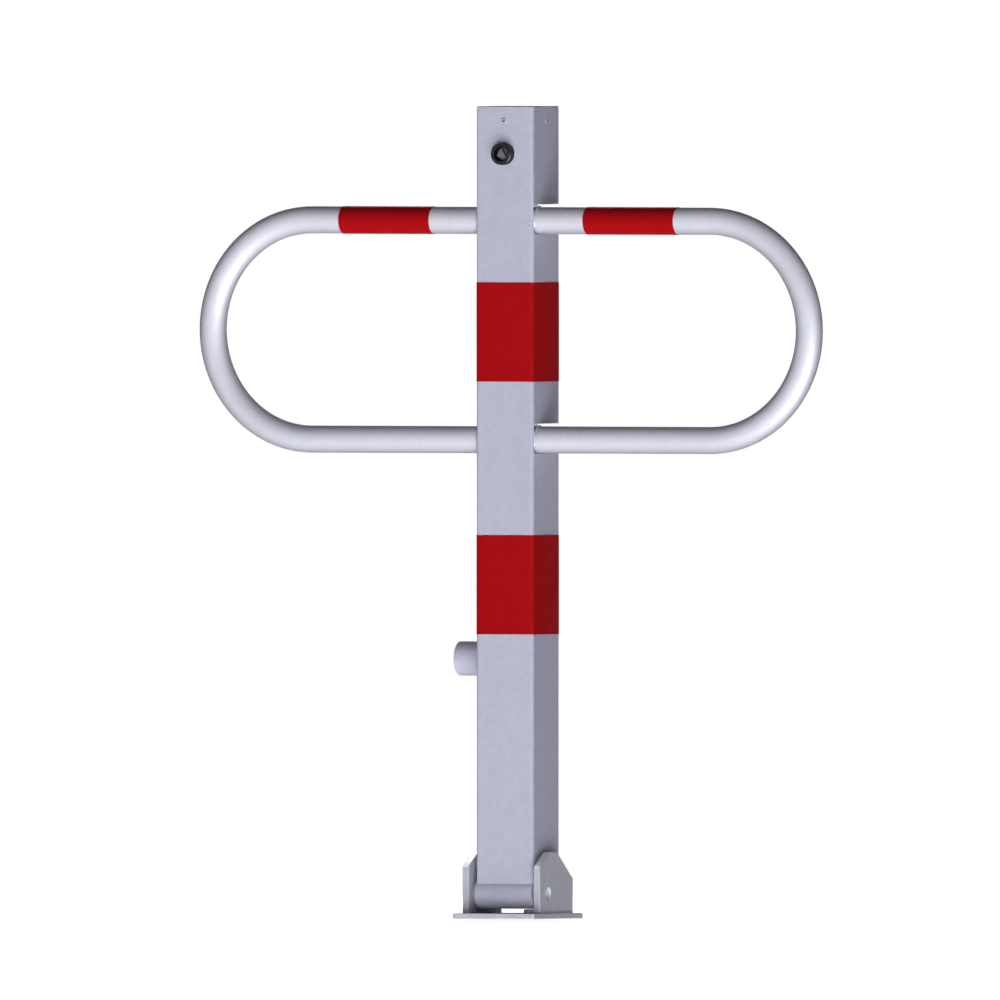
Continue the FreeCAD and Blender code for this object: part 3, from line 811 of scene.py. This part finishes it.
def film_band(node, name):
    """Band of film round the post, at a measured band's place."""
    low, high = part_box(node)

    def at_the_lap(centre, normal):
        return centre.y > high.y - film_thickness and abs(centre.x) < lap_half_width

    bpy.ops.object.select_all(action="DESELECT")
    bpy.ops.mesh.primitive_cube_add(size=1, location=(low + high) / 2, scale=high - low)
    band = bpy.context.object
    settle(band)
    start_editing(band, "FACE")
    choose_faces(band, lambda centre, normal: abs(normal.z) > end_facing)
    bpy.ops.mesh.delete(type="FACE")
    bpy.ops.mesh.select_mode(type="EDGE")
    choose_edges(band, upright)
    bpy.ops.mesh.bevel(offset=film_corner, segments=film_corner_steps, affect="EDGES")
    for side in (-1, 1):
        bpy.ops.mesh.select_all(action="SELECT")
        bpy.ops.mesh.bisect(plane_co=(side * lap_half_width, 0, 0), plane_no=(1, 0, 0))
    bpy.ops.mesh.select_mode(type="FACE")
    choose_faces(band, at_the_lap)
    bpy.ops.mesh.extrude_region_move(TRANSFORM_OT_translate={"value": (0, lap_rise, 0)})
    stop_editing()
    apply_modifier(band, "SOLIDIFY", thickness=film_thickness, offset=-1)
    pick(band)
    bpy.ops.object.shade_smooth_by_angle(angle=film_smooth_angle)
    finish_piece(band, name, "post", "red_film", post_film_red, node)


film_band("post_film_upper", "upper_post_band")
film_band("post_film_lower", "lower_post_band")

# %% [markdown]
# ## Reflective film on the ring
# Two sleeves of the same film on the upper run, lapped at the back of the tube. Each is an open
# cylinder: the faces that look back are pulled out for the lap, and the skin is given its wall.

# %% Sleeve the ring
sleeve_sides = 64
lap_facing = 0.94


def film_sleeve(node, name):
    """Sleeve of film round the ring's upper run, at a measured sleeve's place."""
    low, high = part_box(node)
    bpy.ops.object.select_all(action="DESELECT")
    bpy.ops.mesh.primitive_cylinder_add(vertices=sleeve_sides, radius=(high.z - low.z) / 2,
                                        depth=high.x - low.x, end_fill_type="NOTHING",
                                        location=(low + high) / 2, rotation=(0, math.pi / 2, 0))
    sleeve = bpy.context.object
    settle(sleeve)
    start_editing(sleeve, "FACE")
    choose_faces(sleeve, lambda centre, normal: normal.y > lap_facing)
    bpy.ops.mesh.extrude_region_move(TRANSFORM_OT_translate={"value": (0, lap_rise, 0)})
    stop_editing()
    apply_modifier(sleeve, "SOLIDIFY", thickness=film_thickness, offset=-1)
    pick(sleeve)
    bpy.ops.object.shade_smooth_by_angle(angle=film_smooth_angle)
    finish_piece(sleeve, name, "post", "red_film", ring_film_red, node)


film_sleeve("ring_film_left", "left_ring_sleeve")
film_sleeve("ring_film_right", "right_ring_sleeve")

# %% [markdown]
# ## Turned pieces: lock collar, tube stub and rivets
# Turned pieces are drawn as on a lathe: one point is pulled along the half-section corner by corner,
# and the line is spun once round the axis. A bevel then breaks the sharp corners as a file would.

# %% Helper for the lathe
lathe_steps = 64
seed_side = 0.01


def on_the_lathe(section, start, along):
    """Spin a half-section, given as (distance along the axis, radius) corners, round an axis."""
    across = along.orthogonal().normalized()
    corners = [start + along * distance + across * radius for distance, radius in section]
    bpy.ops.object.select_all(action="DESELECT")
    bpy.ops.mesh.primitive_plane_add(size=seed_side, location=(0, 0, 0))
    piece = bpy.context.object
    start_editing(piece, "VERT")
    bpy.ops.mesh.select_all(action="SELECT")
    bpy.ops.mesh.merge(type="CENTER")
    bpy.ops.transform.translate(value=corners[0])
    for here, there in zip(corners, corners[1:]):
        bpy.ops.mesh.extrude_region_move(TRANSFORM_OT_translate={"value": there - here})
    bpy.ops.mesh.select_all(action="SELECT")
    bpy.ops.mesh.spin(steps=lathe_steps, angle=2 * math.pi, center=start, axis=along)
    stop_editing()
    clean_shell(piece)
    return piece


print("lathe turns in", lathe_steps, "steps")

# %% Lock collar
post_low, post_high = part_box("post_tube")
collar_low, collar_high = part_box("lock_collar")
lock_z = (collar_low.z + collar_high.z) / 2
lock_face = Vector((0, post_low.y, lock_z))
collar_radius = (collar_high.x - collar_low.x) / 2
collar_proud = post_low.y - collar_low.y
neck_end = collar_high.y - post_low.y
collar_chamfer = 0.0015
collar_rounding = 0.0003
recess_radius = 0.0085
recess_depth = 0.009
recess_floor = recess_depth - collar_proud
neck_radius = 0.010
spindle_bore = 0.00505
collar_section = [
    (-collar_proud, recess_radius),
    (-collar_proud, collar_radius - collar_chamfer),
    (collar_chamfer - collar_proud, collar_radius),
    (0, collar_radius),
    (0, neck_radius),
    (neck_end, neck_radius),
    (neck_end, spindle_bore),
    (recess_floor, spindle_bore),
    (recess_floor, recess_radius),
    (-collar_proud, recess_radius),
]
collar = on_the_lathe(collar_section, lock_face, Vector((0, 1, 0)))
soften_edges(collar, collar_rounding)
finish_piece(collar, "turned_lock_collar", "post", "lock_black", lock_black, "lock_collar")

# %% Tube stub
stub_low, stub_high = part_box("side_stub")
stub_radius = (stub_high.z - stub_low.z) / 2
stub_length = stub_high.x - stub_low.x
stub_wall = 0.003
stub_rounding = 0.0005
stub_root = Vector((stub_high.x, 0, (stub_low.z + stub_high.z) / 2))
stub_section = [
    (0, stub_radius),
    (stub_length, stub_radius),
    (stub_length, stub_radius - stub_wall),
    (0, stub_radius - stub_wall),
    (0, stub_radius),
]
stub = on_the_lathe(stub_section, stub_root, Vector((-1, 0, 0)))
soften_edges(stub, stub_rounding)
finish_piece(stub, "turned_side_stub", "post", "galvanised_steel", post_zinc, "side_stub")

# %% Blind rivet in the front face
rivets_low, rivets_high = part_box("cap_rivets")
rivet_z = (rivets_low.z + rivets_high.z) / 2
rivet_head = rivets_high.x - post_high.x
head_radius = (rivets_high.z - rivets_low.z) / 2
bore_depth = 0.0022
bore_floor = rivet_head - bore_depth
bore_radius = 0.0013
crown_radius = 0.0022
shank_radius = 0.002
tail_radius = 0.003
grip = 0.0057
tail_height = 0.0016
tail_end = grip + tail_height
dome_height_share = 0.6
dome_radius_share = 0.87
rivet_rounding = 0.00015
rivet_section = [
    (bore_floor, 0),
    (bore_floor, bore_radius),
    (rivet_head, bore_radius),
    (rivet_head, crown_radius),
    (rivet_head * dome_height_share, head_radius * dome_radius_share),
    (0, head_radius),
    (0, shank_radius),
    (-grip, shank_radius),
    (-grip, tail_radius),
    (-tail_end, tail_radius),
    (-tail_end, 0),
]
front_rivet = on_the_lathe(rivet_section, Vector((0, post_low.y, rivet_z)), Vector((0, -1, 0)))
soften_edges(front_rivet, rivet_rounding, steps=2)
finish_piece(front_rivet, "rivet_front", "post", "bright_steel", post_zinc, "cap_rivets")

# %% Painted shade in the rivet's bore
bore_margin = 1.05
bore_reach = bore_radius * bore_margin
bore_floor_y = post_low.y - bore_floor
behind_the_floor = 0.0004


def in_the_bore(centre, normal):
    """Test for the faces of the rivet's pulled bore."""
    off_axis = math.hypot(centre.x, centre.z - rivet_z)
    return off_axis < bore_reach and centre.y < bore_floor_y + behind_the_floor


# Painted shade: the bore's walls and floor take the dark stud steel, which stands for the shade inside
# the hole.
front_rivet.data.materials.append(stud_steel_and_bore_shade)
front_rivet.active_material_index = 1
start_editing(front_rivet, "FACE")
choose_faces(front_rivet, in_the_bore)
bpy.ops.object.material_slot_assign()
stop_editing()
print("bore faces", sum(face.material_index for face in front_rivet.data.polygons))

# %% Copies of the rivet in the other three faces
for quarter, name in ((1, "rivet_right"), (2, "rivet_back"), (3, "rivet_left")):
    rivet = bpy.data.objects.new(name, front_rivet.data.copy())
    bpy.context.scene.collection.objects.link(rivet)
    rivet.data.name = name
    rivet.rotation_euler = (0, 0, quarter * math.pi / 2)
    settle(rivet)
    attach(rivet, "post")
    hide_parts("cap_rivets")
print("rivets at height", round(rivet_z, 4))

# %% [markdown]
# ## Weld beads
# The ears are welded to the plate and the ring to its slots. A bead is a small round section drawn
# along its joint, or spun round it, with many short steps; a cloudy displacement then makes the
# steps uneven, like the scales of a real bead. The zinc covers them afterwards.

# %% Helpers for beads
bead_sides = 12
bead_unevenness = 0.0011
bead_level = 0.55
ripple_size = 0.0035
bead_ripple = bpy.data.textures.new("bead_ripple", "CLOUDS")
bead_ripple.noise_scale = ripple_size


def bead_section(place, along, radius):
    """Round face at a place, turned to look along a direction."""
    bpy.ops.object.select_all(action="DESELECT")
    turn = along.to_track_quat("Z", "Y").to_euler()
    bpy.ops.mesh.primitive_circle_add(vertices=bead_sides, radius=radius, fill_type="NGON",
                                      location=place, rotation=turn)
    bead = bpy.context.object
    settle(bead)
    start_editing(bead, "FACE")
    bpy.ops.mesh.select_all(action="SELECT")
    return bead


def settle_bead(bead, name, body):
    """Close a bead's ends, make it uneven and finish it."""
    bpy.ops.mesh.select_all(action="SELECT")
    bpy.ops.mesh.remove_doubles(threshold=merge_distance)
    bpy.ops.mesh.fill_holes(sides=0)
    bpy.ops.mesh.normals_make_consistent(inside=False)
    stop_editing()
    apply_modifier(bead, "DISPLACE", texture=bead_ripple, strength=bead_unevenness,
                   mid_level=bead_level, texture_coords="LOCAL")
    pick(bead)
    bpy.ops.object.shade_smooth()
    finish_piece(bead, name, body, "galvanised_steel", weld_zinc)


print("bead ripples of", ripple_size, "m")

# %% Beads at the ears' feet
bead_radius = 0.0016
bead_step = 0.0012
bead_end_gap = 0.004
plate_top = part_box("base_plate")[1].z
for node in ("hinge_ear_left", "hinge_ear_right"):
    low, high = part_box(node)
    run = high.y - low.y - 2 * bead_end_gap
    steps = round(run / bead_step)
    for face, x in (("inner", min(low.x, high.x, key=abs)), ("outer", max(low.x, high.x, key=abs))):
        bead = bead_section(Vector((x, low.y + bead_end_gap, plate_top)), Vector((0, 1, 0)), bead_radius)
        for step in range(steps):
            bpy.ops.mesh.extrude_region_move(TRANSFORM_OT_translate={"value": (0, run / steps, 0)})
        settle_bead(bead, node + "_bead_" + face, "base")

# %% Beads where the ring passes the post's sides
bead_sweep = math.radians(120)
for run_name, run_z in (("upper", ring_upper_z), ("lower", ring_lower_z)):
    for side_name, x in (("left", post_low.x), ("right", post_high.x)):
        middle = Vector((x, ring_y, run_z))
        angle = -math.pi / 2 - bead_sweep / 2
        spot = middle + tube_radius * Vector((0, math.cos(angle), math.sin(angle)))
        bead = bead_section(spot, Vector((0, -math.sin(angle), math.cos(angle))), bead_radius)
        steps = round(bead_sweep * tube_radius / bead_step)
        bpy.ops.mesh.spin(steps=steps, angle=bead_sweep, center=middle, axis=(1, 0, 0))
        settle_bead(bead, "ring_bead_" + run_name + "_" + side_name, "post")
